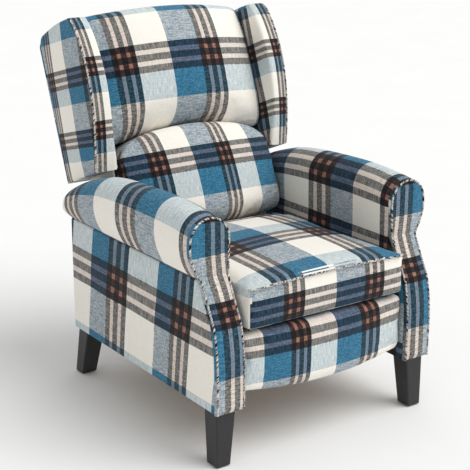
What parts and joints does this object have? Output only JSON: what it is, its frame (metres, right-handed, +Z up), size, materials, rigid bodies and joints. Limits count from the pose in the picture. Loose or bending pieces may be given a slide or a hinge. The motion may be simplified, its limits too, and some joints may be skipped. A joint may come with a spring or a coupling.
{
  "type": "wingback recliner",
  "caption": "Wingback recliner with rolled arms, reclining back, sliding seat and a fold-out footrest on links, upholstered in plaid fabric.",
  "frame": {"origin": "on the floor under the middle of the closed chair's bounding box", "axes": "+Z up, the chair faces -Y, +X is to the viewer's right when looking at its front"},
  "size_m": [0.74, 0.9343, 1.0285],
  "materials": {
    "plaid_fabric": "matte",
    "welt_fabric": "matte",
    "charcoal_wood": "matte",
    "frame_wood": "matte",
    "plywood": "matte",
    "zinc_steel": "satin",
    "black_steel": "satin",
    "spring_steel": "satin",
    "webbing": "matte",
    "felt": "matte",
    "nylon": "matte"
  },
  "bodies": {
    "frame": {"front_legs": "charcoal_wood", "rear_legs": "charcoal_wood", "leg_bolts": "zinc_steel", "leg_glides": "nylon", "corner_blocks": "frame_wood", "cross_rails": "frame_wood", "rail_bolts": "zinc_steel", "side_frame_right": "plywood", "side_frame_left": "plywood", "rear_panel": "plaid_fabric", "side_panel_right": "plaid_fabric", "side_panel_left": "plaid_fabric", "arm_boards": "plywood", "arm_roll_right": "plaid_fabric", "arm_roll_left": "plaid_fabric", "inner_pad_right": "plaid_fabric", "inner_pad_left": "plaid_fabric", "arm_facing_right": "plaid_fabric", "arm_facing_left": "plaid_fabric", "facing_welt_right": "welt_fabric", "facing_welt_left": "welt_fabric", "track_cleats": "frame_wood", "seat_tracks": "black_steel", "pivot_plates": "black_steel"},
    "back": {"back_frame": "frame_wood", "back_webbing": "webbing", "back_panel": "plaid_fabric", "head_cushion": "plaid_fabric", "lumbar_cushion": "plaid_fabric", "wing_cores": "plywood", "wing_right": "plaid_fabric", "wing_left": "plaid_fabric", "wing_welts": "welt_fabric", "recline_cranks": "black_steel", "crank_bolts": "zinc_steel", "crank_pins": "zinc_steel"},
    "seat": {"seat_frame": "frame_wood", "seat_springs": "spring_steel", "seat_deck": "felt", "seat_cushion": "plaid_fabric", "seat_welt": "welt_fabric", "side_plates": "black_steel", "plate_bolts": "zinc_steel", "seat_rollers": "nylon", "roller_pins": "zinc_steel", "seat_pivots": "zinc_steel"},
    "drive_links": {"drive_links": "black_steel", "torque_tube": "black_steel", "drive_pivots": "zinc_steel"},
    "guide_links": {"guide_links": "black_steel"},
    "carrier_links": {"carrier_links": "black_steel", "carrier_pivots": "zinc_steel"},
    "tilt_links": {"tilt_links": "black_steel"},
    "footrest": {"footrest_brackets": "black_steel", "footrest_pivots": "zinc_steel", "bracket_screws": "zinc_steel", "footrest_board": "plywood", "footrest_pad": "plaid_fabric"}
  },
  "joints": [
    {"name": "back_recline", "type": "hinge", "parent": "frame", "child": "back", "pos_m": [0, 0.1928, 0.3], "axis": [-1, 0, 0], "range_deg": [0, 30]},
    {"name": "seat_slide", "type": "slide", "parent": "frame", "child": "seat", "axis": [0, -0.9945, 0.1045], "range_m": [0, 0.0469]},
    {"name": "footrest_open", "type": "hinge", "parent": "seat", "child": "drive_links", "pos_m": [0, -0.3822, 0.322], "axis": [-1, 0, 0], "range_deg": [0, 94.17]},
    {"name": "guide_turn", "type": "hinge", "parent": "seat", "child": "guide_links", "pos_m": [0, -0.3427, 0.328], "axis": [-1, 0, 0], "range_deg": [0, 94.13]},
    {"name": "carrier_turn", "type": "hinge", "parent": "drive_links", "child": "carrier_links", "pos_m": [0, -0.29003, 0.19207], "axis": [-1, 0, 0], "range_deg": [-95.88, 0]},
    {"name": "tilt_turn", "type": "hinge", "parent": "drive_links", "child": "tilt_links", "pos_m": [0, -0.30226, 0.23109], "axis": [-1, 0, 0], "range_deg": [-95.68, 0]},
    {"name": "footrest_tilt", "type": "hinge", "parent": "carrier_links", "child": "footrest", "pos_m": [0, -0.37329, 0.27807], "axis": [-1, 0, 0], "range_deg": [0, 93.7]}
  ],
  "couplings": [
    {"joint": "seat_slide", "follows": "back_recline", "m_per_rad": 0.089381},
    {"joint": "guide_turn", "follows": "footrest_open", "ratio": 0.99862},
    {"joint": "carrier_turn", "follows": "footrest_open", "ratio": -1.0171},
    {"joint": "tilt_turn", "follows": "footrest_open", "ratio": -1.015},
    {"joint": "footrest_tilt", "follows": "footrest_open", "ratio": 0.99405}
  ]
}
